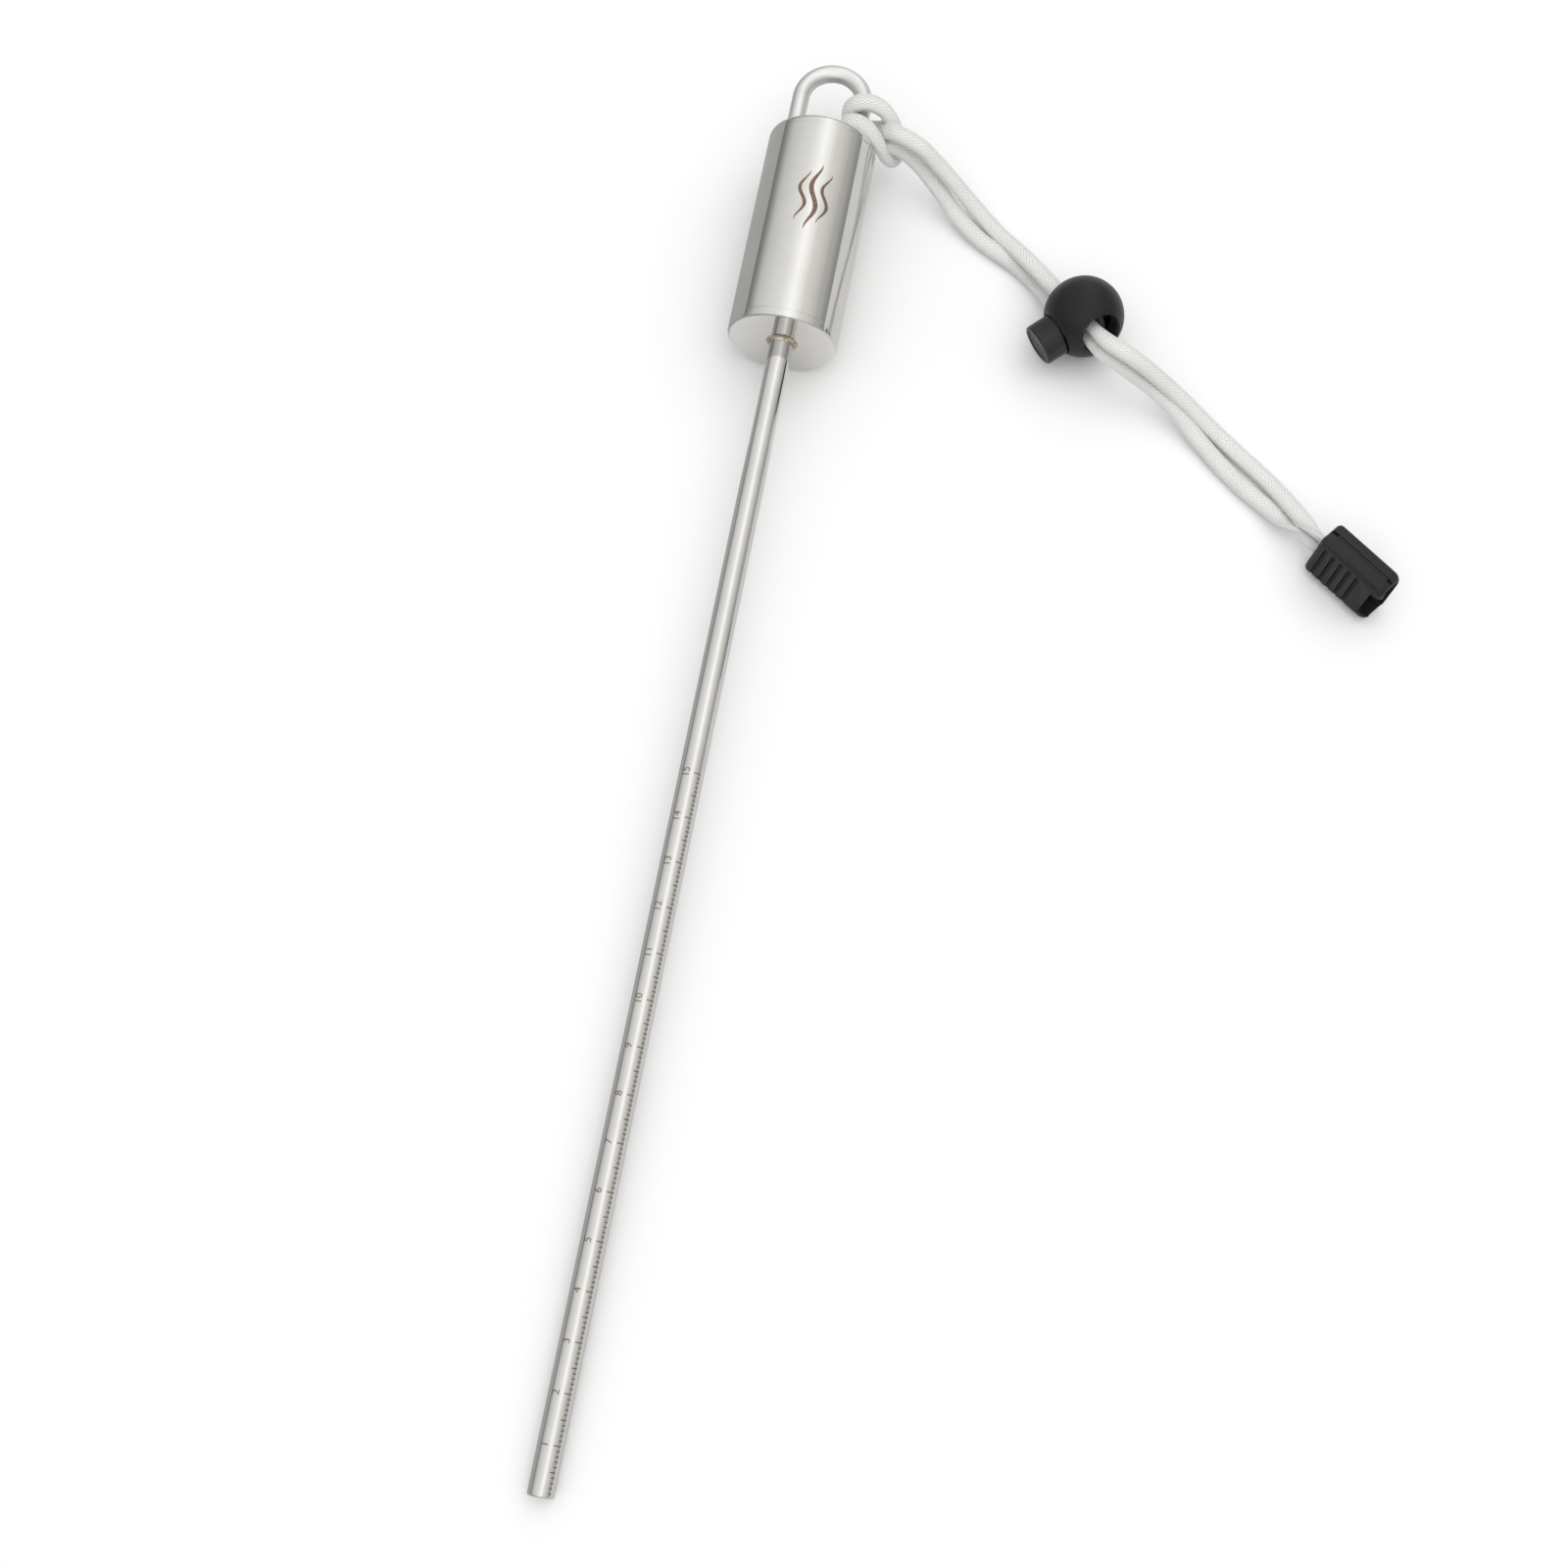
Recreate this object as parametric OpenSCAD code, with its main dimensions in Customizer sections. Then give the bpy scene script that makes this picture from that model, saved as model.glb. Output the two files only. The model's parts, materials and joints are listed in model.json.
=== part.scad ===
// Rattle pointer: a steel pointing rod with a rattle cylinder, a carrying ring
// and a braided wrist lanyard with a ball cord lock and a cord end clip.
// It lies on a table (z = 0), the rod's tip towards -Y and the ring towards +Y.
// Millimetres.

/* [Pointer rod] */
// Diameter of the pointer rod
rod_d = 5.5; // [4:0.1:8]
// Length of rod in front of the rattle
rod_len = 255; // [150:1:400]
// Chamfer round the rod's tip
tip_chamfer = 0.6; // [0.2:0.1:1.2]
// Diameter of the turned spigot that seats in the rattle
spigot_d = 4.5; // [3:0.1:5]
// How far the spigot stands into the rattle
spigot_proud = 1; // [0:0.1:2]

/* [Rattle cylinder] */
// Outside diameter of the rattle
tube_d = 25.4; // [20:0.1:38]
// Length of the rattle over both caps
rattle_len = 52.5; // [40:0.5:90]
// Wall of the rattle's tube
tube_wall = 1.2; // [0.8:0.1:2]
// Thickness of each end cap
cap_t = 2; // [1.5:0.1:4]
// Round on the rim of the cap at the rod
rod_cap_round = 0.7; // [0.3:0.1:1.4]
// Round on the rim of the cap at the ring
ring_cap_round = 1.3; // [0.3:0.1:1.4]

/* [Rattle balls] */
// Diameter of each loose ball
ball_d = 9; // [6:0.1:10]
// Number of loose balls
ball_count = 3; // [3:1:3]
// Room beside each ball
ball_gap = 0.15; // [0.1:0.05:0.5]

/* [Carrying ring] */
// Diameter of the ring's wire
wire_d = 4; // [3:0.1:5]
// Inside width of the ring
ring_w = 11; // [10:0.1:16]
// Straight leg between the cap and the bend
ring_leg = 12; // [8:0.5:16]
// How far each leg stands into the rattle
leg_proud = 1; // [0:0.1:2]

/* [Welds] */
// Width of each weld bead
weld_w = 0.9; // [0.5:0.1:1.2]
// Room between a welded piece and its hole
weld_gap = 0.05; // [0.02:0.01:0.2]

/* [Lanyard] */
// Diameter of the plain round stand-in for the braid
cord_d = 2.6; // [2:0.1:2.8]

/* [Cord lock] */
// Diameter of the ball
lock_d = 18.6; // [17:0.1:23]
// Diameter of the cord's cross hole
lock_hole_d = 8.4; // [7.6:0.1:9]
// Diameter of the hole's flared mouth
lock_flare_d = 10.4; // [9:0.1:11]
// Depth of the flare
lock_flare_t = 1.2; // [0.5:0.1:2]
// Depth of the flat collar round the button
lock_collar_t = 0.5; // [0.3:0.1:1]
// Diameter of the push button
button_d = 9.8; // [9.2:0.1:11]
// Running clearance round the button, on the radius
button_gap = 0.08; // [0.03:0.01:0.1]
// Distance from the ball's middle to the button's face
button_reach = 12.8; // [12:0.1:14]
// Travel of the button
button_travel = 3.4; // [2:0.1:3.6]
// Thickness of ball behind the spring
lock_back_t = 1.5; // [1.2:0.1:2.5]
// Diameter of the spring's wire
spring_wire_d = 0.5; // [0.3:0.05:0.7]
// Diameter of the spring over its middle line
spring_d = 6.4; // [5:0.1:8]
// Turns of the spring
spring_turns = 3.5; // [2:0.5:4]

/* [Cord end clip] */
// Length of the clip
clip_len = 18.5; // [16:0.5:26]
// Height of the clip, across its broad sides
clip_h = 12; // [11:0.1:16]
// Thickness of the clip over both halves
clip_t = 7.4; // [7:0.1:10]
// Wall of the clip
clip_wall = 1.2; // [0.8:0.1:1.4]
// Round on the clip's edges
clip_round = 1.4; // [0.8:0.1:2]
// Distance from one grip groove to the next
groove_step = 2.3; // [1.8:0.1:3]
// Width of each grip groove
groove_w = 0.9; // [0.5:0.1:1.2]
// Depth of each grip groove
groove_deep = 0.5; // [0.3:0.1:0.6]
// Number of grip grooves on each broad side
groove_count = 5; // [3:1:6]
// Gap between the clip's halves
clip_gap = 0.1; // [0.05:0.05:0.3]
// Diameter of the bead that stands for the clip's film hinge
film_d = 0.6; // [0.4:0.05:0.7]
// Length of the latch window in the clip's near half
latch_len = 2.8; // [1:0.1:3.5]

/* [Hidden] */

rod_r = rod_d / 2;
tube_r = tube_d / 2;
tube_ir = tube_r - tube_wall;
ball_r = ball_d / 2;
wire_r = wire_d / 2;
ring_r = ring_w / 2 + wire_r;          // the ring's middle line
tube_len = rattle_len - 2 * cap_t;
tube_from = rod_len + cap_t;
ring_face = rod_len + rattle_len;      // outer face of the cap at the ring
bend_at = ring_face + ring_leg;        // where the ring's legs meet its bend
round_fn = 96;
wire_fn = 48;

// The stick rests on the rattle's rim and on the tip, so its axis climbs towards the ring
rest_tilt = atan((tube_r - rod_r) / rod_len);
tip_rise = rod_r * cos(rest_tilt);

// Half-way along the resting stick, which stands over the frame's origin
stick_mid = ((bend_at + ring_r) * cos(rest_tilt) + wire_r
             - (rod_r - tip_chamfer) * sin(rest_tilt)) / 2;

// The lanyard's places were chosen with the ring's face this far from the tip, and
// they follow the ring when the stick's length changes
lanyard_ring_face = 307.5;
lanyard_mid = stick_mid - (ring_face - lanyard_ring_face);

// The loose balls have run down to the rod's end and lie in the tube's lowest line
ball_drop = tube_ir - ball_r - ball_gap;
ball_step = ball_d + ball_gap;
ball_from = tube_from + ball_r + 0.2;

// Cord lock: its cross hole runs along its own X, its button points along -Y
lock_at = [67, 276.5 - lanyard_mid, lock_d / 2];
lock_turn = [10, -24, -52];
lock_r = lock_d / 2;
lock_hole_r = lock_hole_d / 2;
button_r = button_d / 2;
bore_r = button_r + button_gap;
lock_collar = sqrt(pow(lock_r, 2) - pow(bore_r, 2)) - lock_collar_t;
button_hole_off = button_travel;       // at rest the button's hole stands out by its travel
button_tail = lock_hole_r - button_hole_off + 1.8;
bore_end = lock_r - lock_back_t;
spring_from = button_tail + 0.05;
spring_to = bore_end - 0.05;

// Cord end clip: its length is its own X, mouth at -X; its film hinge is on top
clip_turn = [-13, 0, -36];
clip_lift = clip_t / 2 * sin(-clip_turn[0]);
clip_at = [134.4, 223.7 - lanyard_mid, clip_lift];
clip_film_z = clip_h - film_d / 2 + 0.05;
film_room = film_d / 2 + 0.15;         // half the groove that holds the film hinge
knot_gap = 0.3;                        // room round the knot and between the cord's ends
strand_rise = cord_d / 2 + knot_gap;
clip_cord_z = [clip_h / 2 - strand_rise, clip_h / 2 + strand_rise];
clip_knot_from = -2;                   // where the cord's ends meet the knot
knot_r = clip_t / 2 - clip_wall - knot_gap;

// The lanyard's middle line, measured from the rod's tip: from the clip through the
// lock, round the ring's leg in a lark's head, and back through the lock to the clip
cord_points = [
  [133.4, 225.7, 5.1], [127.5, 229.9, 5.1], [121.3, 234.6, 3.6], [114.8, 240, 1.8],
  [109.3, 243.9, 1.45], [103.7, 248.5, 1.45], [98, 253.7, 1.9], [93, 257.9, 3.6],
  [88.6, 260.4, 5.9], [84.4, 261.8, 8.6], [80.6, 262.6, 10.8], [76.8, 263.6, 12.6],
  [73.3, 265.3, 12.9], [70.5, 268.1, 11.7], [65.5, 274.6, 8.1], [60.4, 281.1, 4.4],
  [57.4, 284.9, 3.1], [54.2, 288.4, 2], [50, 291.8, 1.5], [45, 294.6, 1.45],
  [39.4, 297.8, 1.6], [33.8, 301.9, 2.8], [28.2, 306.2, 6.4], [22.6, 309.4, 10.4],
  [17.6, 311.1, 12.7], [13.2, 312, 12.2], [9.8, 312.6, 11.2], [6.6, 312.7, 11.2],
  [4, 312.6, 13.4], [4, 312.4, 16.9], [6.8, 311.9, 18.9], [10.2, 310.7, 18.2],
  [12.9, 309.5, 15.4], [14.6, 309, 12.2], [16.2, 309.9, 9.8], [16.8, 312.6, 9.2],
  [16, 315.2, 11.2], [14.6, 317, 14.4], [12.4, 317.9, 17.2], [9.2, 317.9, 18.9],
  [5.8, 317.3, 18.4], [3.7, 316.6, 15.4], [4.9, 316.1, 12.2], [8.2, 315.9, 11.3],
  [11.4, 315.4, 12.6], [14.6, 313.8, 15.2], [18.2, 312.2, 16.2], [23, 311, 14.6],
  [28, 309.2, 10.8], [33.5, 306.9, 6.2], [39.4, 303.4, 2.6], [45, 299, 1.7],
  [49.2, 295.3, 2.8], [53.2, 291, 4.7], [57.1, 286.8, 6], [60.9, 282.7, 6.7],
  [65.9, 276.2, 10.2], [71, 269.7, 13.9], [73.8, 266.9, 15.4], [77.4, 265.2, 15.4],
  [81.2, 264.3, 13.6], [85.2, 263.5, 10.8], [89.2, 262.6, 7.7], [93.4, 261.1, 5],
  [97.8, 258.7, 2.9], [102.8, 255.5, 1.6], [108.4, 251.3, 1.45], [114, 247.1, 1.5],
  [118.6, 242.3, 2.9], [122.8, 236.5, 5.7], [127.9, 230.5, 8.2], [133.8, 226.3, 8.2]];
hitch_from = 24;                       // first and last point of the hitch
hitch_to = 46;

// ---- frames --------------------------------------------------------------

// Puts a piece built along +Z from the rod's tip onto the resting stick
module stick() {
  translate([0, -stick_mid, tip_rise]) rotate([rest_tilt, 0, 0]) rotate([-90, 0, 0]) children();
}

module lock_frame() { translate(lock_at) rotate(lock_turn) children(); }

module clip_frame() { translate(clip_at) rotate(clip_turn) children(); }

// ---- swept tubes ---------------------------------------------------------

// A point on the smooth curve through a, b, c and d, between b and c
function smooth_point(a, b, c, d, t) =
  0.5 * (2 * b + (c - a) * t + (2 * a - 5 * b + 4 * c - d) * t * t
         + (3 * b - a - 3 * c + d) * t * t * t);

// The smooth curve through points, with extra rings where the hitch turns tightly
function smooth_line(p, from, to) = let (n = len(p) - 1) concat(
  [for (i = [0 : n - 1]) let (steps = (i >= from && i < to) ? 2 : 1)
    for (k = [0 : steps - 1])
      smooth_point(p[max(i - 1, 0)], p[i], p[i + 1], p[min(i + 2, n)], k / steps)],
  [p[n]]);

function unit(v) = v / norm(v);

function directions(p) = let (n = len(p) - 1)
  [for (i = [0 : n]) unit(p[min(i + 1, n)] - p[max(i - 1, 0)])];

// A side vector carried along the line, so that the tube doesn't twist
function side_vectors(dirs, i, side) = i == len(dirs) ? [] :
  let (s = unit(side - (side * dirs[i]) * dirs[i]))
  concat([s], side_vectors(dirs, i + 1, s));

module swept_tube(p, radius, sides) {
  dirs = directions(p);
  across = side_vectors(dirs, 0, [0, 0, 1]);
  rings = len(p);
  points = [for (i = [0 : rings - 1]) for (k = [0 : sides - 1])
    let (a = 360 * k / sides)
    p[i] + radius * (cos(a) * across[i] + sin(a) * cross(dirs[i], across[i]))];
  walls = [for (i = [0 : rings - 2]) for (k = [0 : sides - 1])
    let (a = i * sides + k, b = i * sides + (k + 1) % sides)
    [a, a + sides, b + sides, b]];
  first = [for (k = [0 : sides - 1]) k];
  last = [for (k = [sides - 1 : -1 : 0]) (rings - 1) * sides + k];
  polyhedron(points, concat([first], walls, [last]));
}

// ---- rod and rattle ------------------------------------------------------

module pointer_rod() {
  color("silver") stick() {
    cylinder(tip_chamfer, rod_r - tip_chamfer, rod_r, $fn = wire_fn);
    translate([0, 0, tip_chamfer])
      cylinder(rod_len - weld_w - tip_chamfer, rod_r, rod_r, $fn = wire_fn);
    translate([0, 0, rod_len - weld_w])
      cylinder(weld_w + cap_t + spigot_proud, spigot_d / 2, spigot_d / 2, $fn = wire_fn);
  }
}

module rattle_tube() {
  color("silver") stick() translate([0, 0, tube_from]) difference() {
    cylinder(tube_len, tube_r, tube_r, $fn = round_fn);
    translate([0, 0, -1]) cylinder(tube_len + 2, tube_ir, tube_ir, $fn = round_fn);
  }
}

// A disc with its outer rim rounded; the rounded face is at z = 0
module rounded_disc(rim) {
  rotate_extrude($fn = round_fn) {
    translate([0, rim]) square([tube_r, cap_t - rim]);
    square([tube_r - rim, cap_t]);
    intersection() {
      translate([tube_r - rim, rim]) circle(rim, $fn = 40);
      translate([tube_r - rim, 0]) square(rim);
    }
  }
}

module rod_end_cap() {
  color("silver") stick() translate([0, 0, rod_len]) difference() {
    rounded_disc(rod_cap_round);
    translate([0, 0, -1])
      cylinder(cap_t + 2, spigot_d / 2 + weld_gap, spigot_d / 2 + weld_gap, $fn = wire_fn);
  }
}

module ring_end_cap() {
  color("silver") stick() translate([0, 0, ring_face]) mirror([0, 0, 1]) difference() {
    rounded_disc(ring_cap_round);
    for (side = [-1, 1]) translate([side * ring_r, 0, -1])
      cylinder(cap_t + 2, wire_r + weld_gap, wire_r + weld_gap, $fn = wire_fn);
  }
}

// A weld bead standing on z = 0, hollow-faced, round a bar of radius inner
module bead(inner, outer) {
  width = outer - inner;
  rotate_extrude($fn = wire_fn) difference() {
    translate([inner, 0]) square(width);
    translate([outer, width]) circle(width * 0.96, $fn = 40);
  }
}

module rod_weld() {
  color("peru") stick() translate([0, 0, rod_len]) mirror([0, 0, 1]) {
    bead(rod_r, rod_r + weld_w);
    difference() {
      cylinder(weld_w, rod_r, rod_r, $fn = wire_fn);
      translate([0, 0, -1]) cylinder(weld_w + 2, spigot_d / 2, spigot_d / 2, $fn = wire_fn);
    }
  }
}

module carry_ring() {
  leg = ring_leg + cap_t + leg_proud;
  color("silver") stick() translate([0, 0, bend_at]) {
    rotate([90, 0, 0]) rotate_extrude(angle = 180, $fn = round_fn)
      translate([ring_r, 0]) circle(wire_r, $fn = wire_fn);
    for (side = [-1, 1]) translate([side * ring_r, 0, -leg])
      cylinder(leg, wire_r, wire_r, $fn = wire_fn);
  }
}

module ring_welds() {
  color("peru") stick() for (side = [-1, 1])
    translate([side * ring_r, 0, ring_face]) bead(wire_r, wire_r + weld_w);
}

module rattle_ball(i) {
  color("gray") stick() translate([0, ball_drop, ball_from + i * ball_step])
    sphere(ball_r, $fn = wire_fn);
}

// ---- lanyard -------------------------------------------------------------

module lanyard_cord() {
  color("white") translate([0, -lanyard_mid, 0])
    swept_tube(smooth_line(cord_points, hitch_from, hitch_to), cord_d / 2, 8);
}

module cord_end_knot() {
  span = clip_cord_z[1] - clip_cord_z[0];
  color("white") clip_frame() translate([clip_knot_from + knot_r, 0, clip_cord_z[0]])
    rotate_extrude($fn = wire_fn) {
      square([knot_r, span]);
      translate([0, span]) intersection() {
        circle(knot_r, $fn = 40);
        square(knot_r);
      }
      intersection() {
        circle(knot_r, $fn = 40);
        translate([0, -knot_r]) square(knot_r);
      }
    }
}

// ---- cord lock -----------------------------------------------------------

module flared_hole() {
  rotate([0, 90, 0]) {
    translate([0, 0, -lock_r]) cylinder(2 * lock_r, lock_hole_r, lock_hole_r, $fn = wire_fn);
    for (end = [0, 1]) mirror([0, 0, end])
      translate([0, 0, sqrt(pow(lock_r, 2) - pow(lock_hole_r, 2)) - lock_flare_t])
        cylinder(2 * lock_flare_t, lock_hole_r, 2 * lock_flare_d / 2 - lock_hole_r, $fn = wire_fn);
  }
}

module lock_ball() {
  color([0.12, 0.12, 0.13]) lock_frame() difference() {
    rotate([0, 0, 45]) sphere(lock_r, $fn = round_fn);
    flared_hole();
    rotate([90, 0, 0]) {
      translate([0, 0, -bore_end])
        cylinder(bore_end + lock_r + 1, bore_r, bore_r, $fn = wire_fn);
      translate([0, 0, lock_collar]) cylinder(lock_r, lock_r, lock_r, $fn = wire_fn);
    }
  }
}

module lock_button() {
  rim = 0.6;
  color([0.16, 0.16, 0.17]) lock_frame() difference() {
    rotate([90, 0, 0]) {
      translate([0, 0, -button_tail])
        cylinder(button_tail + button_reach - rim, button_r, button_r, $fn = wire_fn);
      translate([0, 0, button_reach - rim])
        cylinder(rim, button_r, button_r - rim, $fn = wire_fn);
    }
    translate([-lock_r, -button_hole_off, 0]) rotate([0, 90, 0])
      cylinder(2 * lock_r, lock_hole_r, lock_hole_r, $fn = wire_fn);
  }
}

module lock_spring() {
  steps = 16;
  rings = ceil(spring_turns * steps);
  rise = spring_to - spring_from - spring_wire_d;
  line = [for (i = [0 : rings])
    [spring_d / 2 * cos(360 * i / steps),
     spring_from + spring_wire_d / 2 + rise * i / rings,
     spring_d / 2 * sin(360 * i / steps)]];
  color("silver") lock_frame() swept_tube(line, spring_wire_d / 2, 6);
}

// ---- cord end clip -------------------------------------------------------

module clip_outline() {
  hull() for (x = [-1, 1], y = [-1, 1], z = [clip_round, clip_h - clip_round])
    translate([x * (clip_len / 2 - clip_round), y * (clip_t / 2 - clip_round), z])
      sphere(clip_round, $fn = 12);
}

// One half of the clip, on the +Y side: hollow, open at the far end,
// with a slot for the cord at its mouth and grip grooves on its broad side
module clip_half() {
  difference() {
    clip_outline();
    translate([-clip_len, -clip_t, -1]) cube([2 * clip_len, clip_t + clip_gap / 2, clip_h + 2]);
    translate([-clip_len / 2 + clip_wall, -clip_t, clip_wall])
      cube([clip_len, 1.5 * clip_t - clip_wall, clip_h - 2 * clip_wall]);
    translate([-clip_len, -clip_t, clip_cord_z[0] - cord_d])
      cube([clip_len, clip_t + cord_d / 2 + 0.4, clip_cord_z[1] - clip_cord_z[0] + 2 * cord_d]);
    translate([-clip_len, -clip_t, clip_film_z - film_room])
      cube([2 * clip_len, clip_t + film_room, clip_h]);
    for (i = [0 : groove_count - 1])
      translate([-clip_len / 2 + 2 + groove_step * i, clip_t / 2 - groove_deep, -1])
        cube([groove_w, 1, clip_h - 1.8]);
  }
}

module clip_far_half() { color([0.1, 0.1, 0.11]) clip_frame() clip_half(); }

// The near half also has a latch window at its open end
module clip_near_half() {
  color([0.13, 0.13, 0.14]) clip_frame() difference() {
    mirror([0, 1, 0]) clip_half();
    translate([clip_len / 2 - latch_len, -clip_t, clip_wall + 0.6])
      cube([clip_len, clip_t, clip_h - 2 * clip_wall - 1.8]);
  }
}

module clip_film_hinge() {
  color([0.2, 0.2, 0.21]) clip_frame()
    translate([-clip_len / 2 + 2, 0, clip_film_z]) rotate([0, 90, 0])
      cylinder(clip_len - 4, film_d / 2, film_d / 2, $fn = 32);
}

pointer_rod();
rattle_tube();
rod_end_cap();
ring_end_cap();
rod_weld();
carry_ring();
ring_welds();
rattle_ball(0);  // rattle_ball_1
rattle_ball(1);  // rattle_ball_2
rattle_ball(2);  // rattle_ball_3
lanyard_cord();
lock_ball();
lock_button();
lock_spring();
clip_far_half();
clip_near_half();
clip_film_hinge();
cord_end_knot();
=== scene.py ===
# %% [markdown]
# # A steel rattle pointer on its wrist lanyard
# The real object is a slim polished rod welded to a sealed rattle, with a wire
# ring at the back. A flat white braid is hitched to the ring, runs through a black
# ball cord lock and ends in a black clip. The solid model is already fixed, so
# this lesson loads it as a frame and dresses it piece by piece.

# %% Load the fixed frame
import json
import math
import bpy
import bmesh
from mathutils import Euler, Matrix, Vector, noise


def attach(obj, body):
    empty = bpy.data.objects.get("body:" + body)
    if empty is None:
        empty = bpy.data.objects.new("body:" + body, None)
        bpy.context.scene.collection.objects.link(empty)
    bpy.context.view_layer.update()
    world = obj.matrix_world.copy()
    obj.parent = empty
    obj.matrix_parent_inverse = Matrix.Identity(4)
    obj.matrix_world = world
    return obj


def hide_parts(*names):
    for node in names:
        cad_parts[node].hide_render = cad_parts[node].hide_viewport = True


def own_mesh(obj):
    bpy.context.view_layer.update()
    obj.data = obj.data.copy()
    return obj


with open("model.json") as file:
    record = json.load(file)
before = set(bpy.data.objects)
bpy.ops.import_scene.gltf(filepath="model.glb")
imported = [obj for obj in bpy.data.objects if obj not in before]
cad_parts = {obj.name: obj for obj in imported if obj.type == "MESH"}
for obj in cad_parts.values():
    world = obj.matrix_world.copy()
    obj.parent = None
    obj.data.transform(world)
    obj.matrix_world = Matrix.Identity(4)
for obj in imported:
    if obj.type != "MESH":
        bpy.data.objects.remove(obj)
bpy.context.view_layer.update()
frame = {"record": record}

# %% [markdown]
# ## Where things are
# The stick rests on the rattle's rim and on its tip, so its middle line climbs a
# little. The record's mount on the rod gives that line, and every piece of the
# stick is modelled upright along Z first and then laid onto it by one matrix.

# %% The stick's own frame
MM = 0.001
tip_chamfer = 0.6 * MM
shaft = next(m for m in frame["record"]["mounts"] if m["name"] == "rod_shaft")
rod_r = shaft["dims"]["r_mm"] * MM
along = -Vector(shaft["axis"]).normalized()
side = Vector((1, 0, 0))
lift = side.cross(along)
tip = Vector(shaft["pos_m"]) - along * (tip_chamfer + shaft["dims"]["length_mm"] * MM / 2)
stick = Matrix.Translation(tip) @ Matrix((side, -lift, along)).transposed().to_4x4()
print("tip at", [round(v, 4) for v in tip], "climbs", round(math.degrees(math.asin(along.z)), 2))


def from_tip(x, y, z):
    """A point given in millimetres on the table, measured from under the tip."""
    return Vector((x * MM, y * MM + tip.y, z * MM))


# %% [markdown]
# ## The camera
# The camera looks steeply down on the table, a little from the right. A lens of
# about 50 mm on a 36 mm sensor sees the whole lanyard and the whole rod.

# %% Camera
look_down, look_from_right = 71.316, 10.681    # degrees
camera_data = bpy.data.cameras.new("camera")
camera_data.lens = 49.5
camera_data.sensor_width = 36
camera_data.clip_start = 0.01
camera = bpy.data.objects.new("camera", camera_data)
camera.location = from_tip(47.46, 5.96, 447.16)
camera.rotation_euler = (math.radians(90 - look_down), 0, math.radians(look_from_right))
bpy.context.collection.objects.link(camera)
bpy.context.scene.camera = camera
print("camera at", [round(v, 3) for v in camera.location])

# %% [markdown]
# ## The cord lock's and the clip's frames
# The lock is a ball that lies turned on the table: its cross hole runs along its
# own X and its button sticks out along -Y. The clip leans on its narrow side.

# %% Frames of the loose pieces
def placed(place, turn):
    turn = Euler([math.radians(a) for a in turn], "XYZ")
    return Matrix.Translation(place) @ turn.to_matrix().to_4x4()


lock_r = 9.3 * MM
lock = placed(from_tip(67, 276.5, lock_r / MM), (10, -24, -52))
clip_len, clip_t, clip_h = 18.5 * MM, 7.4 * MM, 12 * MM
clip_lean = 13    # degrees
clip_rise = clip_t / 2 * math.sin(math.radians(clip_lean))
clip = placed(from_tip(134.4, 223.7, clip_rise / MM), (-clip_lean, 0, -36))

# %% [markdown]
# ## The lanyard's line
# The braid leaves the clip, passes the lock, wraps the ring's leg in a lark's
# head and comes back beside itself. The same points as in the solid
# model are joined by one smooth curve, in the frame's metres.

# %% The line the braid follows
route = [from_tip(*p) for p in [
    (133.4, 225.7, 5.1), (127.5, 229.9, 5.1), (121.3, 234.6, 3.6), (114.8, 240, 1.8),
    (109.3, 243.9, 1.45), (103.7, 248.5, 1.45), (98, 253.7, 1.9), (93, 257.9, 3.6),
    (88.6, 260.4, 5.9), (84.4, 261.8, 8.6), (80.6, 262.6, 10.8), (76.8, 263.6, 12.6),
    (73.3, 265.3, 12.9), (70.5, 268.1, 11.7), (65.5, 274.6, 8.1), (60.4, 281.1, 4.4),
    (57.4, 284.9, 3.1), (54.2, 288.4, 2), (50, 291.8, 1.5), (45, 294.6, 1.45),
    (39.4, 297.8, 1.6), (33.8, 301.9, 2.8), (28.2, 306.2, 6.4), (22.6, 309.4, 10.4),
    (17.6, 311.1, 12.7), (13.2, 312, 12.2), (9.8, 312.6, 11.2), (6.6, 312.7, 11.2),
    (4, 312.6, 13.4), (4, 312.4, 16.9), (6.8, 311.9, 18.9), (10.2, 310.7, 18.2),
    (12.9, 309.5, 15.4), (14.6, 309, 12.2), (16.2, 309.9, 9.8), (16.8, 312.6, 9.2),
    (16, 315.2, 11.2), (14.6, 317, 14.4), (12.4, 317.9, 17.2), (9.2, 317.9, 18.9),
    (5.8, 317.3, 18.4), (3.7, 316.6, 15.4), (4.9, 316.1, 12.2), (8.2, 315.9, 11.3),
    (11.4, 315.4, 12.6), (14.6, 313.8, 15.2), (18.2, 312.2, 16.2), (23, 311, 14.6),
    (28, 309.2, 10.8), (33.5, 306.9, 6.2), (39.4, 303.4, 2.6), (45, 299, 1.7),
    (49.2, 295.3, 2.8), (53.2, 291, 4.7), (57.1, 286.8, 6), (60.9, 282.7, 6.7),
    (65.9, 276.2, 10.2), (71, 269.7, 13.9), (73.8, 266.9, 15.4), (77.4, 265.2, 15.4),
    (81.2, 264.3, 13.6), (85.2, 263.5, 10.8), (89.2, 262.6, 7.7), (93.4, 261.1, 5),
    (97.8, 258.7, 2.9), (102.8, 255.5, 1.6), (108.4, 251.3, 1.45), (114, 247.1, 1.5),
    (118.6, 242.3, 2.9), (122.8, 236.5, 5.7), (127.9, 230.5, 8.2), (133.8, 226.3, 8.2)]]


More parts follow.
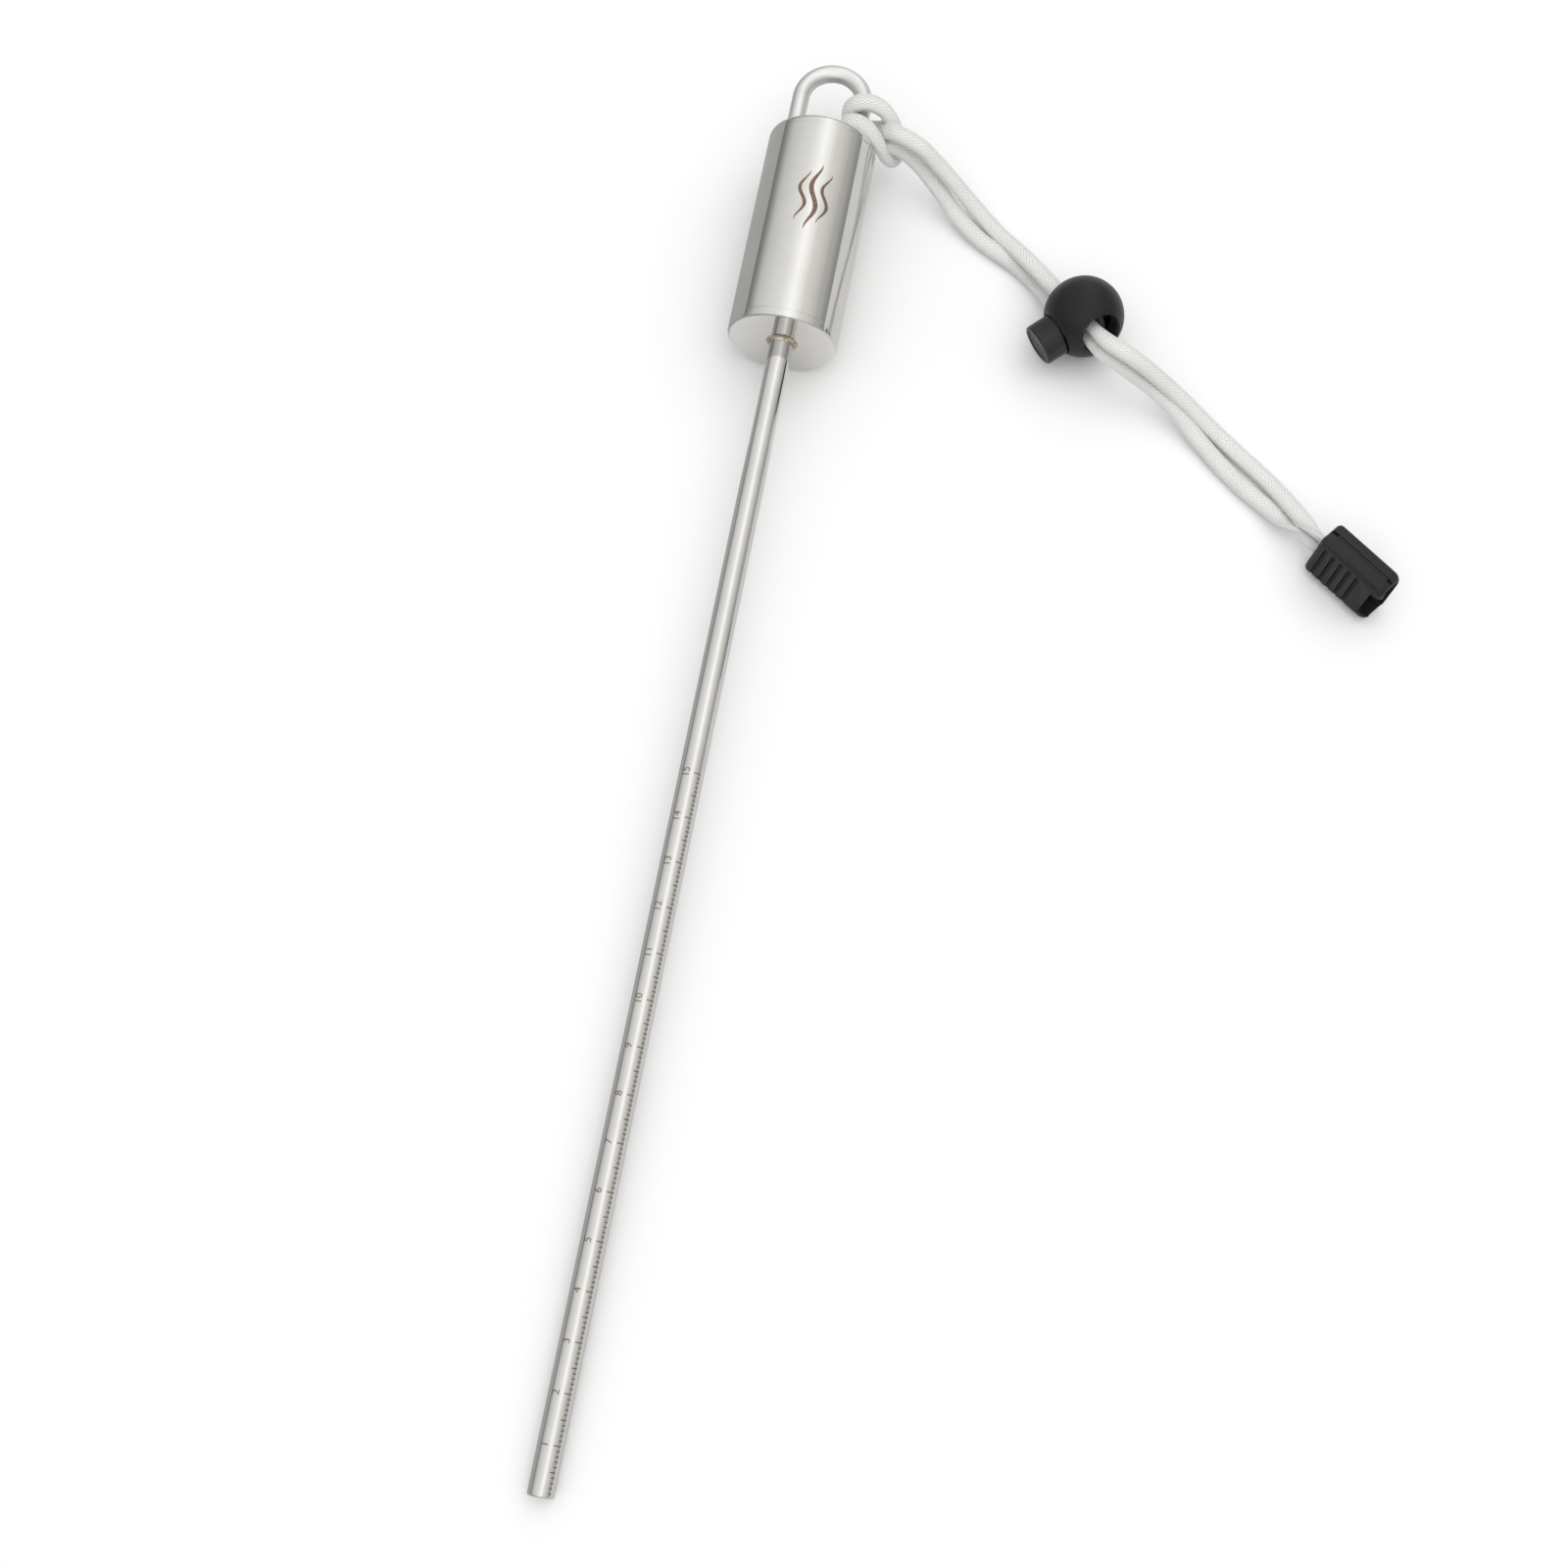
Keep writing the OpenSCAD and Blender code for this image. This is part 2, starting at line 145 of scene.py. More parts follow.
def smooth_line(points, steps):
    """A Catmull-Rom curve through the points, with so many steps between two."""
    line = []
    last = len(points) - 1
    for i in range(last):
        a, b, c, d = (points[min(max(k, 0), last)] for k in range(i - 1, i + 3))
        for k in range(steps):
            t = k / steps
            line.append(0.5 * (2 * b + (c - a) * t + (2 * a - 5 * b + 4 * c - d) * t * t
                               + (3 * b - a - 3 * c + d) * t ** 3))
    return line + [points[last]]


def line_length(line):
    return sum((b - a).length for a, b in zip(line, line[1:]))


def evenly(line, step):
    """The same line with points at even distances."""
    total = line_length(line)
    count = round(total / step)
    out, walked, target = [line[0].copy()], 0.0, total / count
    for a, b in zip(line, line[1:]):
        piece = (b - a).length
        while walked + piece >= target * len(out) and len(out) < count:
            out.append(a.lerp(b, (target * len(out) - walked) / piece))
        walked += piece
    return out + [line[-1].copy()]


ring_step = 0.36 * MM    # between two rings of the braid's tube
braid_line = evenly(smooth_line(route, 24), ring_step)
print("braid", round(line_length(braid_line) * 1000, 1), "mm,", len(braid_line), "rings")

# %% [markdown]
# ## Which way the flat braid faces
# A flat braid lies on its broad side. On the table that side faces up, round the
# ring it faces the wire, in the lock the two strands lie face to face, and in the
# clip they stand on edge. Each place pulls the facing towards its own direction,
# and the pull fades with distance, so the braid turns over gently in between.

# %% Facing and width along the braid
def fade(distance, near, far):
    t = min(max((far - distance) / (far - near), 0), 1)
    return t * t * (3 - 2 * t)


rod_len, rattle_len = 255, 52.5    # millimetres along the stick
ring_face = rod_len + rattle_len
ring_leg_x = 7.5                   # from the stick's middle to a leg of the ring
leg_foot = stick @ Vector((ring_leg_x * MM, 0, ring_face * MM))
lock_inverse = lock.inverted()


def facing(p):
    """The way the braid faces at a point, and its half width there."""
    up = Vector((0, 0, 1))
    from_foot = p - leg_foot
    out = from_foot - along * from_foot.dot(along)
    round_wire = fade(out.length, 6.5 * MM, 9.5 * MM) * fade(from_foot.length, 16 * MM, 22 * MM)
    near_lock = (p - lock.translation).length < 20 * MM
    in_lock = fade(abs((lock_inverse @ p).x), 6 * MM, 14 * MM) if near_lock else 0
    in_clip = fade((p - clip.translation).length, 12 * MM, 19 * MM)
    flat = up.lerp(out.normalized(), round_wire)
    flat = flat.lerp(lock.col[2].to_3d(), in_lock).lerp(clip.col[1].to_3d(), in_clip)
    width = 1.95 + 0.2 * round_wire - 0.5 * in_lock - 0.5 * in_clip
    return flat.normalized(), width * MM


turn_rate = 0.12    # how much of the way to a new facing each ring turns


def braid_frames(line):
    """For each point its broad direction, its facing and its half width."""
    frames, before = [], None
    for i, p in enumerate(line):
        ahead = (line[min(i + 1, len(line) - 1)] - line[max(i - 1, 0)]).normalized()
        flat, width = facing(p)
        across = ahead.cross(flat)
        if before is not None:
            if across.dot(before) < 0:
                across = -across
            across = before.lerp(across.normalized(), turn_rate * min(1, across.length))
            across -= ahead * across.dot(ahead)
        across.normalize()
        before = across
        frames.append((across, across.cross(ahead), width))
    return frames


frames = braid_frames(braid_line)
print("half widths", round(min(f[2] for f in frames) * 1000, 2), "to",
      round(max(f[2] for f in frames) * 1000, 2), "mm")

# %% [markdown]
# ## The braid itself
# The tube starts as a flat grid, one column for each step round the braid and one
# row for each point of the line. Every vertex is then moved to its place on an
# oval round the line, and the long seam is welded. The strands' crossings lift
# the surface a few hundredths of a millimetre, and the grid's UV map, counted in
# strands, carries the finer yarn pattern of the material.

# %% Mesh helpers
def make_object(name, bm, sharp=33):
    """Turns a bmesh into a smooth-shaded object whose hard edges stay crisp."""
    for face in bm.faces:
        face.smooth = True
    for edge in bm.edges:
        edge.smooth = edge.calc_face_angle(0) < math.radians(sharp)
    mesh = bpy.data.meshes.new(name)
    bm.to_mesh(mesh)
    bm.free()
    piece = bpy.data.objects.new(name, mesh)
    bpy.context.collection.objects.link(piece)
    return piece


def sealed(bm, weld):
    """Welds points closer than so many millimetres, closes ends, turns faces outwards."""
    bmesh.ops.remove_doubles(bm, verts=bm.verts, dist=weld * MM)
    bmesh.ops.holes_fill(bm, edges=[e for e in bm.edges if e.is_boundary], sides=0)
    bmesh.ops.recalc_face_normals(bm, faces=bm.faces)


print("mesh helpers ready")

# %% Braid tube
braid_strands, braid_step = 12, 1.25 * MM    # strands round one half, length of a stitch
strand_rise = 0.06 * MM                      # how far a strand's back stands up
side_power, face_power = 0.75, 0.55          # below 1, the oval gets flatter faces


def crossing(u, v):
    """Height of a strand's back, 0 to 1, in a one-over-one braid."""
    p, q = u + v, u - v
    over = (math.floor(p) + math.floor(q)) % 2
    t = (p if over else q) % 1
    return math.sin(math.pi * t)


def signed_power(value, power):
    return math.copysign(abs(value) ** power, value)


def braid_tube(name, line, frames, half_t, count=40):
    """A flat braid of so many columns round, laid along a line."""
    bm = bmesh.new()
    rows = len(line)
    bmesh.ops.create_grid(bm, x_segments=count, y_segments=rows - 1, size=0.5)
    uv = bm.loops.layers.uv.new("UVMap")
    strands, stitches = 2 * braid_strands, line_length(line) / braid_step
    for face in bm.faces:
        for loop in face.loops:
            x, y = loop.vert.co.x + 0.5, loop.vert.co.y + 0.5
            loop[uv].uv = (x * strands, y * stitches)
    for vert in bm.verts:
        x, y = vert.co.x + 0.5, vert.co.y + 0.5
        i = min(round(y * (rows - 1)), rows - 1)
        across, flat, half_w = frames[i]
        a = 2 * math.pi * x
        bulge = crossing(x * strands, y * stitches) * strand_rise
        wide = signed_power(math.cos(a), side_power) * (half_w + bulge)
        thick = signed_power(math.sin(a), face_power) * (half_t + bulge)
        vert.co = line[i] + across * wide + flat * thick
    sealed(bm, 0.004)
    return make_object(name, bm, 75)


braid_half_t = 0.85 * MM
braid = braid_tube("lanyard_braid", braid_line, frames, braid_half_t)
print("braid faces", len(braid.data.polygons))

# %% [markdown]
# ## Turned pieces
# The rod, the rattle, its caps and the weld beads are all round, so each one is an
# outline spun once about Z. A UV map is laid on before the piece is tipped onto the
# stick: U runs once round, V counts millimetres along.

# %% Spin an outline
def arc(x, z, r, start, end, steps=6):
    """Points of a round corner; angles in degrees, 0 along X, 90 along Z."""
    angles = [math.radians(start + (end - start) * k / steps) for k in range(steps + 1)]
    return [(x + r * math.cos(a), z + r * math.sin(a)) for a in angles]


def lay_round_uv(bm):
    uv = bm.loops.layers.uv.verify()
    for face in bm.faces:
        middle = face.calc_center_median()
        centre = math.atan2(middle.y, middle.x) / (2 * math.pi)
        for loop in face.loops:
            u = math.atan2(loop.vert.co.y, loop.vert.co.x) / (2 * math.pi)
            loop[uv].uv = (u - round(u - centre), loop.vert.co.z / MM)


def spun(outline, closed=False, steps=96):
    """A bmesh spun from an outline of (radius, height) in millimetres."""
    bm = bmesh.new()
    verts = [bm.verts.new((r * MM, 0, z * MM)) for r, z in outline]
    edges = [bm.edges.new(pair) for pair in zip(verts, verts[1:])]
    if closed:
        edges.append(bm.edges.new((verts[-1], verts[0])))
    bmesh.ops.spin(bm, geom=verts + edges, cent=(0, 0, 0), axis=(0, 0, 1),
                   angle=2 * math.pi, steps=steps, use_merge=True)
    sealed(bm, 0.002)
    lay_round_uv(bm)
    return bm


def turned(name, outline, closed=False, steps=96):
    """A piece of the stick, spun from its outline."""
    bm = spun(outline, closed, steps)
    bm.transform(stick)
    return make_object(name, bm)


print("stick from 0 to", ring_face, "mm, plus its ring")


# %% [markdown]
# ## The pointer rod
# A plain bar with a small chamfer at the tip. At the far end it steps down to the
# spigot that passes through the rattle's cap.

# %% Rod
rod_mm = rod_r / MM
spigot_r, spigot_from, spigot_to = 2.25, 254.1, 258
rod = turned("rod", [(0, 0), (2.1, 0)] + arc(rod_mm - 0.5, 0.5, 0.5, -90, 0, 8)
             + [(rod_mm, z) for z in (1, 60, 120, 180, spigot_from)]
             + [(spigot_r, spigot_from), (spigot_r, spigot_to), (0, spigot_to)])
print("rod faces", len(rod.data.polygons))

# %% [markdown]
# ## The rattle
# A drawn tube closed by two discs. The disc at the rod has a tight rolled edge, the
# one at the ring a softer one, and a hairline gap shows where the tube meets them.

# %% Rattle tube and caps
cap_t, rattle_r, bore_r = 2, 12.7, 11.5
groove = 0.07                      # depth of the hairline where a cap meets the tube
tube_from, tube_to = rod_len + cap_t, ring_face - cap_t
rod_edge, ring_edge = 0.65, 1.3    # radius of each cap's rolled edge
tube = turned("rattle", [
    (rattle_r - groove, tube_from), (rattle_r, tube_from + groove), (rattle_r, 270),
    (rattle_r, 290), (rattle_r, tube_to - groove), (rattle_r - groove, tube_to),
    (bore_r, tube_to), (bore_r, tube_from)], closed=True, steps=160)
rod_cap = turned("rod_cap", [(2.3, rod_len), (11.9, rod_len)]
                 + arc(rattle_r - rod_edge, rod_len + rod_edge, rod_edge, -90, 0, 8)
                 + [(rattle_r, tube_from - groove), (rattle_r - groove, tube_from),
                    (2.3, tube_from)], closed=True, steps=160)
print("rattle faces", len(tube.data.polygons), "cap faces", len(rod_cap.data.polygons))


# %% [markdown]
# The ring's cap has two holes for the ring's legs. They are cut with a Boolean
# modifier, and the result is stored back as a plain mesh.

# %% Carve helper and the ring's cap
def settle(piece):
    """Applies the piece's modifiers."""
    seen = piece.evaluated_get(bpy.context.evaluated_depsgraph_get())
    mesh = bpy.data.meshes.new_from_object(seen)
    piece.modifiers.clear()
    old, piece.data = piece.data, mesh
    bpy.data.meshes.remove(old)
    return piece


def carve(piece, bm):
    """Cuts the shape in bm out of the piece."""
    cutter = make_object("cutter", bm)
    cut = piece.modifiers.new("cut", "BOOLEAN")
    cut.operation, cut.object, cut.solver = "DIFFERENCE", cutter, "EXACT"
    settle(piece)
    bpy.data.objects.remove(cutter)
    return piece


leg_hole_r = 2.06
ring_cap = turned("ring_cap", [(0, ring_face), (0, tube_to), (rattle_r - groove, tube_to),
                               (rattle_r, tube_to + groove)]
                  + arc(rattle_r - ring_edge, ring_face - ring_edge, ring_edge, 0, 90, 10)
                  + [(0, ring_face)], steps=160)
for x in (-ring_leg_x, ring_leg_x):
    hole = spun([(0, 300), (leg_hole_r, 300), (leg_hole_r, 312), (0, 312)], steps=40)
    bmesh.ops.translate(hole, verts=hole.verts, vec=(x * MM, 0, 0))
    hole.transform(stick)
    carve(ring_cap, hole)
print("ring cap faces", len(ring_cap.data.polygons))


# %% [markdown]
# A round that runs into a flat face tilts the flat face's shading, which shows at
# once on a mirror. Normals weighted by face area keep the flat faces flat.

# %% Keep flat faces flat
def flatten_shading(piece):
    weighted = piece.modifiers.new("flat faces", "WEIGHTED_NORMAL")
    weighted.keep_sharp = True
    return settle(piece)


for mirror in (rod, tube, rod_cap, ring_cap):
    flatten_shading(mirror)
print("flat faces kept on", rod.name, tube.name, rod_cap.name, ring_cap.name)

# %% [markdown]
# ## The carrying ring
# One length of wire bent to a U. A circle is pulled up the first leg, spun half a
# turn for the bend, and pulled down the second leg.

# %% Carrying ring
ring_wire_r, ring_straight, ring_sunk = 2, 12, 3    # millimetres


def edges_of(geometry):
    return [e for e in geometry if isinstance(e, bmesh.types.BMEdge)]


def pull(bm, edges, step):
    """Extrudes the edges by a step and gives back the new rim."""
    out = bmesh.ops.extrude_edge_only(bm, edges=edges)["geom"]
    moved = [v for v in out if isinstance(v, bmesh.types.BMVert)]
    bmesh.ops.translate(bm, vec=step, verts=moved)
    return edges_of(out)


def ring_wire():
    bm = bmesh.new()
    bend = (ring_face + ring_straight) * MM
    foot = (ring_face - ring_sunk) * MM
    start = Matrix.Translation((-ring_leg_x * MM, 0, foot))
    bmesh.ops.create_circle(bm, cap_ends=False, segments=40, radius=ring_wire_r * MM, matrix=start)
    rim = pull(bm, bm.edges[:], (0, 0, bend - foot))
    out = bmesh.ops.spin(bm, geom=rim, cent=(0, 0, bend), axis=(0, 1, 0), angle=math.pi, steps=48)
    pull(bm, edges_of(out["geom_last"]), (0, 0, foot - bend))
    sealed(bm, 0.002)
    bm.transform(stick)
    return make_object("ring_wire", bm)


ring = ring_wire()
print("ring faces", len(ring.data.polygons))

# %% [markdown]
# ## The weld beads
# A weld is never quite even: the bead's outline is spun, and then each vertex is
# pushed in and out by a slow noise and a quicker ripple left by the torch.

# %% Weld beads
def joined(name, parts, sharp=80):
    """One object from several bmeshes."""
    whole = bmesh.new()
    for part in parts:
        mesh = bpy.data.meshes.new("part")
        part.to_mesh(mesh)
        part.free()
        whole.from_mesh(mesh)
        bpy.data.meshes.remove(mesh)
    return make_object(name, whole, sharp)


def bead(x, inner, foot, rise, seed):
    """A bead round a bar; rise is 1 where it climbs from its foot and -1 where it hangs."""
    size, hollow = 0.9, 0.86    # the bead's height, and the radius of its hollow face
    turns = [math.radians(d) for d in range(0, 91, 10)]
    face = [(inner + size - hollow * math.sin(a), foot + rise * (size - hollow * math.cos(a)))
            for a in turns]
    outline = [(inner - 0.1, foot)] + face + [(inner - 0.1, foot + rise * size)]
    bm = spun(outline, closed=True, steps=72)
    for vert in bm.verts:
        p = vert.co
        if abs(p.z / MM - foot) < 0.05 or Vector((p.x, p.y)).length < inner * MM:
            continue
        torch = 0.05 * math.sin(26 * math.atan2(p.y, p.x))
        slow = 0.10 * noise.noise(p * 900 + Vector((seed, 0, 0)))
        p.z += rise * (torch + slow) * MM
    bmesh.ops.translate(bm, verts=bm.verts, vec=(x * MM, 0, 0))
    bm.transform(stick)
    return bm


rod_bead = make_object("rod_bead", bead(0, rod_mm, rod_len, -1, 3), 60)
ring_beads = joined("ring_beads", [bead(-ring_leg_x, ring_wire_r, ring_face, 1, 11),
                                   bead(ring_leg_x, ring_wire_r, ring_face, 1, 29)], 60)
print("bead faces", len(rod_bead.data.polygons), len(ring_beads.data.polygons))

# %% [markdown]
# ## The engraved ruler
# The rod carries a scale in millimetres with numbers at each centimetre, burnt in
# by a laser. Marks this thin are easiest as skins of real mesh wrapped on the bar
# a hundredth of a millimetre proud: they stay sharp at any distance.

# %% Wrap flat shapes on a bar
skin = 0.012 * MM    # how far a mark stands proud of its bar


def wrap(bm, bar_r, s, turn):
    """Lays a flat shape (X along the stick, Y towards the left) on a bar, turn in degrees."""
    radius = bar_r + skin
    for vert in bm.verts:
        angle = math.radians(turn) - vert.co.y / radius
        out = side * math.sin(angle) + lift * math.cos(angle)
        vert.co = tip + along * (s + vert.co.x) + out * (radius + vert.co.z)


def patch(length, width, steps):
    """A flat strip, cut across its width so that it can bend."""
    bm = bmesh.new()
    bmesh.ops.create_grid(bm, x_segments=1, y_segments=steps, size=0.5)
    bmesh.ops.scale(bm, vec=(length, width, 1), verts=bm.verts)
    return bm


print("marks stand", skin / MM, "mm proud")

# %% [markdown]
# The ticks all start at one line and reach round the bar by three lengths: for a
# whole centimetre, for a half and for a single millimetre.

# %% Ticks
tick_end, tick_reach, tick_width = 52, 33, 0.24 * MM    # degrees round the bar, thickness


def tick(mm):
    long = 1.0 if mm % 10 == 0 else 0.75 if mm % 5 == 0 else 0.45
    start = tick_end - 2 - tick_reach * long
    bm = patch(tick_width, math.radians(tick_end - start) * rod_r, 5)
    wrap(bm, rod_r, mm * MM, (start + tick_end) / 2)
    return bm


ticks = joined("ruler_ticks", [tick(mm) for mm in range(1, 151)])
print("ticks", len(ticks.data.polygons), "faces")

# %% [markdown]
# A number starts as a text curve. It is made a mesh at once, and cut into thin
# slices, because a flat face can't follow a round bar.

# %% Numbers
def number(text, size):
    """A flat number centred on the origin, sliced so that it can bend."""
    curve = bpy.data.curves.new("number", "FONT")
    curve.body, curve.size = text, size
    curve.align_x, curve.align_y = "CENTER", "CENTER"
    writing = bpy.data.objects.new("number", curve)
    bpy.context.collection.objects.link(writing)
    seen = writing.evaluated_get(bpy.context.evaluated_depsgraph_get())
    mesh = bpy.data.meshes.new_from_object(seen)
    bm = bmesh.new()
    bm.from_mesh(mesh)
    bpy.data.objects.remove(writing)
    bpy.data.meshes.remove(mesh)
    for k in range(-7, 8):
        bmesh.ops.bisect_plane(bm, geom=bm.verts[:] + bm.edges[:] + bm.faces[:],
                               plane_co=(0, k * size / 14, 0), plane_no=(0, 1, 0), dist=1e-7)
    return bm


number_size, number_turn = 2.3 * MM, -20


def rod_number(cm):
    bm = number(str(cm), number_size)
    wrap(bm, rod_r, cm * 10 * MM, number_turn)
    return bm


numbers = joined("ruler_numbers", [rod_number(cm) for cm in range(1, 16)])
print("numbers", len(numbers.data.polygons), "faces")

# %% [markdown]
# ## A plain etched mark on the rattle
# The rattle carries a small burnt-in mark. Here it is three plain waves, each a
# strip that swells in the middle and runs out to points at its ends.

# %% Wave mark
mark_at, mark_turn, swing = 286 * MM, 7, 0.9 * MM    # along the stick, round it, side to side


def wave(shift, length, width):
    """One wave, in millimetres."""
    bm = bmesh.new()
    bmesh.ops.create_grid(bm, x_segments=48, y_segments=3, size=0.5)
    for vert in bm.verts:
        x, y = vert.co.x, vert.co.y
        taper = math.cos(math.pi * x) ** 0.7 if abs(x) < 0.499 else 0.02
        vert.co.x = x * length * MM
        vert.co.y = (y * width * taper + shift) * MM + swing * math.sin(3 * math.pi * x)
    wrap(bm, rattle_r * MM, mark_at, mark_turn)
    return bm


waves = joined("wave_mark", [wave(-2.6, 13, 0.9), wave(0, 17, 1.2), wave(2.6, 13, 0.9)])
print("mark", len(waves.data.polygons), "faces")

# %% [markdown]
# ## The ball of the cord lock
# A moulded ball with a flared hole straight through for the cord and a blind bore
# for the button. The ball is a sphere, and the two holes are spun outlines cut out
# of it. A small bevel then softens every cut edge, as a mould would.

# %% Lock ball
def soften(piece, width, angle=38, segments=3):
    edge = piece.modifiers.new("soft edges", "BEVEL")
    edge.width, edge.segments, edge.limit_method = width, segments, "ANGLE"
    edge.angle_limit = math.radians(angle)
    edge.harden_normals = True
    return settle(piece)


def lying(bm, toward):
    """Turns a spun shape from Z to another direction."""
    turn = Vector((0, 0, 1)).rotation_difference(Vector(toward)).to_matrix()
    bmesh.ops.rotate(bm, verts=bm.verts, cent=(0, 0, 0), matrix=turn)
    return bm


cord_hole_r, beyond_ball = 4.2, 12    # millimetres


def lock_body():
    bm = bmesh.new()
    bmesh.ops.create_uvsphere(bm, u_segments=112, v_segments=72, radius=lock_r)
    eighth = Matrix.Rotation(math.radians(45), 3, "Z")
    bmesh.ops.rotate(bm, verts=bm.verts, cent=(0, 0, 0), matrix=eighth)
    ball = make_object("lock_body", bm)
    flare = [(cord_hole_r, 6.2), (4.25, 6.7), (4.4, 7.2), (4.68, 7.62), (5.1, 8.0),
             (5.9, 8.5), (7, 9.2), (7, beyond_ball)]
    hole = ([(0, -beyond_ball)] + [(r, -x) for r, x in reversed(flare)] + flare
            + [(0, beyond_ball)])
    carve(ball, lying(spun(hole, steps=64), (1, 0, 0)))
    bore = [(0, -7.8), (4.98, -7.8), (4.98, 6.95), (5.15, 7.1), (5.15, 7.35), (7, 7.35),
            (7, beyond_ball), (0, beyond_ball)]
    carve(ball, lying(spun(bore, steps=64), (0, -1, 0)))
    soften(ball, 0.22 * MM)
    ball.data.transform(lock)
    return ball


ball = lock_body()
print("ball faces", len(ball.data.polygons))

# %% [markdown]
# ## The button
# A plunger with the same cross hole, pushed out by a spring behind it. Its face is
# a little hollow inside a raised rim, as on moulded buttons, so that the thumb
# finds it.

# %% Lock button
button_r, button_back, button_travel = 4.9, -2.6, 3.4    # millimetres


def lock_plunger():
    face = [(0, 12.45), (3.4, 12.5), (3.9, 12.58), (4.15, 12.78)] + arc(4.4, 12.3, 0.5, 80, 0, 5)
    shank = [(button_r, 8), (button_r, 0), (button_r, button_back), (0, button_back)]
    body = make_object("lock_plunger", lying(spun(face + shank, steps=72), (0, -1, 0)))
    hole = spun([(0, -beyond_ball), (cord_hole_r, -beyond_ball), (cord_hole_r, beyond_ball),
                 (0, beyond_ball)], steps=56)
    lying(hole, (1, 0, 0))
    bmesh.ops.translate(hole, verts=hole.verts, vec=(0, -button_travel * MM, 0))
    carve(body, hole)
    flatten_shading(body)
    body.data.transform(lock)
    return body


plunger = lock_plunger()
print("plunger faces", len(plunger.data.polygons))

# %% [markdown]
# ## The return spring
# Behind the button sits a short coil spring. A small circle spun with a step along
# the axis draws the helix. When the button goes in, the coil has to close up.

# %% Return spring
spring_wire_r, spring_r, spring_turns = 0.25 * MM, 3.2 * MM, 3.5
spring_from, spring_to = 2.65 * MM, 7.75 * MM


def coil_spring():
    bm = bmesh.new()
    steps = round(40 * spring_turns)
    climb = spring_to - spring_from - 2 * spring_wire_r
    start = (Matrix.Translation((spring_r, 0, spring_from + spring_wire_r))
             @ Matrix.Rotation(math.pi / 2, 4, "X"))
    bmesh.ops.create_circle(bm, cap_ends=False, segments=14, radius=spring_wire_r, matrix=start)
    bmesh.ops.spin(bm, geom=bm.verts[:] + bm.edges[:], cent=(0, 0, 0), axis=(0, 0, 1),
                   dvec=(0, 0, climb / steps), angle=2 * math.pi * spring_turns, steps=steps)
    sealed(bm, 0.002)
    lying(bm, (0, 1, 0))
    bm.transform(lock)
    return make_object("lock_coil", bm, 50)


coil = coil_spring()
print("coil faces", len(coil.data.polygons))

# %% [markdown]
# ## The end clip
# Two moulded half shells hinge along their top edge and close over the knotted
# cord. Each starts as a block with rounded edges. The hollow, the cord's mouth and
# the finger grooves are cut out of it, and the cut edges are softened.

# %% Block helper
def bevelled(bm, edges, offset, segments):
    bmesh.ops.bevel(bm, geom=edges, offset=offset, offset_type="OFFSET", affect="EDGES",
                    segments=segments, profile=0.5, material=-1)


def block(size, place, rounding=0.0, segments=3):
    bm = bmesh.new()
    bmesh.ops.create_cube(bm, size=1)
    bmesh.ops.scale(bm, vec=size, verts=bm.verts)
    if rounding:
        bevelled(bm, bm.edges[:], rounding, segments)
    bmesh.ops.translate(bm, verts=bm.verts, vec=place)
    return bm


print("clip", [round(v / MM, 1) for v in (clip_len, clip_t, clip_h)], "mm")

# %% [markdown]
# The far half is made first in the clip's own frame: X along it with the mouth at
# -X, Y through its thickness and Z up to the film hinge. The near half is the same
# shape mirrored, with one more cut for the latch's window.

# %% Clip halves
half_gap = 0.05 * MM                                       # from the middle to a half
film_groove = (2 * clip_len, 0.9 * MM, 1.4 * MM)           # room for the film hinge
hollow = (clip_len, 5 * MM, 9.6 * MM)
mouth = (clip_len, 3.4 * MM, 8.4 * MM)
window = (2.8 * MM, clip_t, 7.2 * MM)
rib, rib_first, rib_step, rib_count = 0.95 * MM, 2.45 * MM, 2.3 * MM, 5    # finger grooves


def mirrored(shell):
    """Turns a finished half over to the other side."""
    bm = bmesh.new()
    bm.from_mesh(shell.data)
    bmesh.ops.scale(bm, vec=(1, -1, 1), verts=bm.verts)
    bmesh.ops.reverse_faces(bm, faces=bm.faces)
    bm.to_mesh(shell.data)
    bm.free()


def clip_half(name, near):
    bm = block((clip_len, clip_t, clip_h), (0, 0, clip_h / 2))
    open_end = [e for e in bm.edges if all(v.co.x > 0 for v in e.verts)
                and e.verts[0].co.z == e.verts[1].co.z]
    bevelled(bm, open_end, 2.2 * MM, 6)
    bevelled(bm, [e for e in bm.edges if e.calc_face_angle(0) > math.radians(40)], 1.2 * MM, 5)
    shell = make_object(name, bm)
    other_side = 100 * MM
    carve(shell, block((other_side,) * 3, (0, half_gap - other_side / 2, 0)))
    carve(shell, block(hollow, (1.2 * MM, 0, clip_h / 2), 0.6 * MM))
    carve(shell, block(mouth, (-clip_len / 2, 0, clip_h / 2), 0.8 * MM))
    carve(shell, block(film_groove, (0, 0, clip_h)))
    for i in range(rib_count):
        x = -clip_len / 2 + rib_first + rib_step * i
        carve(shell, block((rib, 1.6 * MM, clip_h), (x, clip_t / 2, clip_h / 2 - 2 * MM), 0.3 * MM))
    if near:
        x = clip_len / 2 - window[0] / 2 + 0.05 * MM
        carve(shell, block(window, (x, clip_t / 2, 5.4 * MM), 0.3 * MM))
        mirrored(shell)
    soften(shell, 0.14 * MM, 40, 2)
    shell.data.transform(clip)
    return shell


far_half = clip_half("clip_far_shell", False)
near_half = clip_half("clip_near_shell", True)
print("clip faces", len(far_half.data.polygons), len(near_half.data.polygons))

# %% [markdown]
# ## The knot inside the clip
# The two ends of the braid are tied together, so a short trefoil of the same braid
# stands for the knot that the clip closes over.

